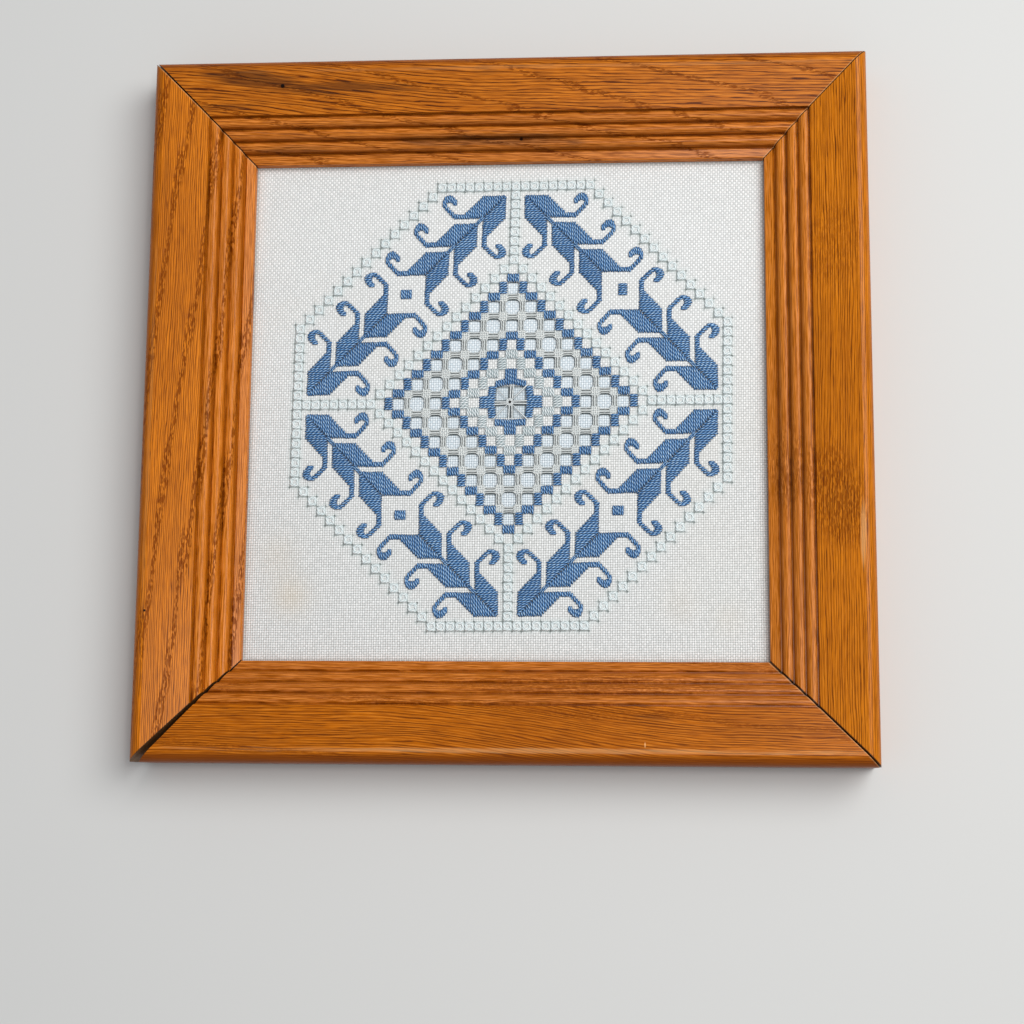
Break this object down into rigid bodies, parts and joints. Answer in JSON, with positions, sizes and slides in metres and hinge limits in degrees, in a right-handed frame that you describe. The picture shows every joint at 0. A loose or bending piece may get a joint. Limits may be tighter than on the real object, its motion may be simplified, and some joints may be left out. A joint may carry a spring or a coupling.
{
  "type": "hardanger embroidery in a stained oak frame",
  "caption": "Cut-thread embroidery of blue leaves and a cut diamond on pale evenweave, held flat in a reeded, mitred oak frame.",
  "frame": {"origin": "middle of the frame on its back plane, which rests on the surface", "axes": "+Z out of the face, +Y towards the top rail, +X towards the right rail seen from the front"},
  "size_m": [0.3524, 0.3474, 0.0305],
  "materials": {
    "oak": "golden oak stain under a satin varnish",
    "evenweave": "off-white evenweave cotton",
    "backing": "cool white evenweave cotton",
    "blue_thread": "mid blue pearl cotton in satin stitch",
    "pale_thread": "pale grey-blue pearl cotton",
    "board": "plain brown mount board"
  },
  "bodies": {
    "root": {"rail_top": "oak", "rail_bottom": "oak", "rail_left": "oak", "rail_right": "oak", "ground_cloth": "evenweave", "backing_cloth": "backing", "back_board": "board"}
  },
  "joints": []
}
